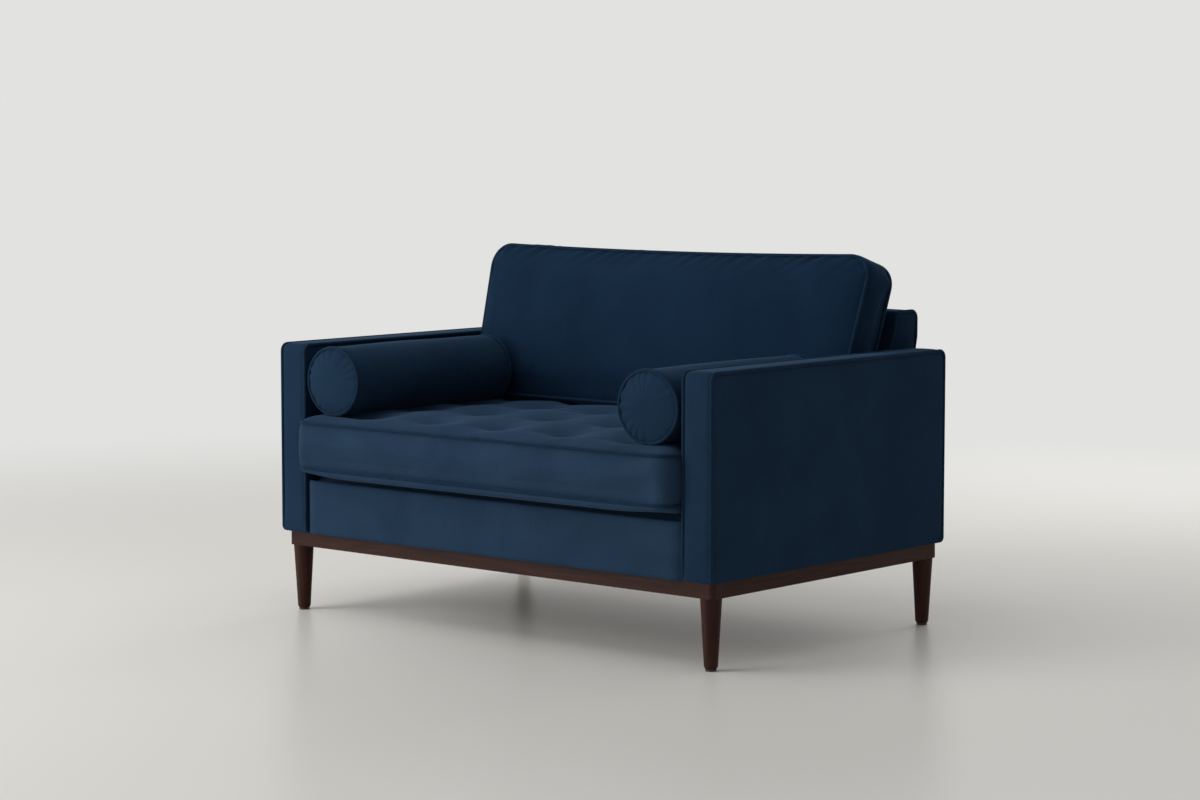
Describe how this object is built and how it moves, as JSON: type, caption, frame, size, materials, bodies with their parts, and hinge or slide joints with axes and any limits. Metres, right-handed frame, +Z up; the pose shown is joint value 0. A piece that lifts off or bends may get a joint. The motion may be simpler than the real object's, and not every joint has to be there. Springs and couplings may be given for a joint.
{
  "type": "sofa",
  "caption": "Compact velvet sofa with box arms, a tufted boxed seat cushion, a leaning back cushion, round bolsters and a dark wooden plinth on tapered legs.",
  "frame": {"origin": "on the floor, under the middle of the sofa's outer box", "axes": "+X to the right as seen from the front, +Y to the rear, +Z up"},
  "size_m": [1.3, 0.9, 0.8476],
  "materials": {
    "velvet": "navy cut-pile velvet",
    "velvet_piping": "navy velvet over piping cord",
    "stained_wood": "dark walnut stain, satin lacquer",
    "timber": "planed softwood",
    "hardboard": "pressed fibre board",
    "foam": "cut polyurethane foam and fibre",
    "felt": "needled felt",
    "deck_cloth": "plain woven platform cloth",
    "dust_cloth": "black non-woven dust cloth",
    "webbing": "elastic woven webbing",
    "thread": "waxed upholstery twine",
    "steel": "bright drawn steel",
    "glide_plastic": "moulded polyethylene",
    "zip_chain": "navy nylon coil on woven tape",
    "zip_slider": "enamelled zinc alloy"
  },
  "bodies": {
    "frame": {"arm_bolts": "steel", "back_cover": "velvet", "back_foam": "foam", "back_piping": "velvet_piping", "back_posts": "timber", "back_top_rail": "timber", "back_webbing": "webbing", "base_corner_blocks": "timber", "base_front_rail": "stained_wood", "base_left_rail": "stained_wood", "base_rear_rail": "stained_wood", "base_right_rail": "stained_wood", "base_screws": "steel", "deck_cover": "deck_cloth", "deck_pad": "foam", "dust_cover": "dust_cloth", "front_left_leg": "stained_wood", "front_panel_cover": "velvet", "front_panel_padding": "foam", "front_right_leg": "stained_wood", "left_arm_cover": "velvet", "left_arm_foam": "foam", "left_arm_frame": "timber", "left_arm_panels": "hardboard", "left_arm_piping": "velvet_piping", "leg_glides": "glide_plastic", "leg_hanger_bolts": "steel", "leg_threaded_inserts": "steel", "rear_left_leg": "stained_wood", "rear_right_leg": "stained_wood", "right_arm_cover": "velvet", "right_arm_foam": "foam", "right_arm_frame": "timber", "right_arm_panels": "hardboard", "right_arm_piping": "velvet_piping", "seat_cross_rail": "timber", "seat_front_rail": "timber", "seat_rear_rail": "timber", "seat_side_rails": "timber", "seat_springs": "steel", "spring_clips": "steel", "spring_felt": "felt"},
    "seat_slider": {"seat_zip_slider": "zip_slider"},
    "back_slider": {"back_zip_slider": "zip_slider"},
    "seat_cushion": {"seat_cushion_core": "foam", "seat_cushion_cover": "velvet", "seat_cushion_piping": "velvet_piping", "seat_cushion_zip": "zip_chain", "seat_tuft_ties": "thread"},
    "back_cushion": {"back_cushion_core": "foam", "back_cushion_cover": "velvet", "back_cushion_piping": "velvet_piping", "back_cushion_zip": "zip_chain"},
    "left_bolster": {"left_bolster_core": "foam", "left_bolster_cover": "velvet", "left_bolster_piping": "velvet_piping"},
    "right_bolster": {"right_bolster_core": "foam", "right_bolster_cover": "velvet", "right_bolster_piping": "velvet_piping"}
  },
  "joints": [
    {"name": "seat_cushion_lift", "type": "slide", "parent": "frame", "child": "seat_cushion", "axis": [0, 0, 1], "range_m": [0, 0.32]},
    {"name": "back_cushion_lift", "type": "slide", "parent": "seat_cushion", "child": "back_cushion", "axis": [0, 0, 1], "range_m": [0, 0.4]},
    {"name": "left_bolster_lift", "type": "slide", "parent": "seat_cushion", "child": "left_bolster", "axis": [0, 0, 1], "range_m": [0, 0.3]},
    {"name": "right_bolster_lift", "type": "slide", "parent": "seat_cushion", "child": "right_bolster", "axis": [0, 0, 1], "range_m": [0, 0.3]},
    {"name": "seat_zip_run", "type": "slide", "parent": "seat_cushion", "child": "seat_slider", "axis": [-1, 0, 0], "range_m": [0, 0.83]},
    {"name": "back_zip_run", "type": "slide", "parent": "back_cushion", "child": "back_slider", "axis": [-1, 0, 0], "range_m": [0, 0.73]}
  ]
}
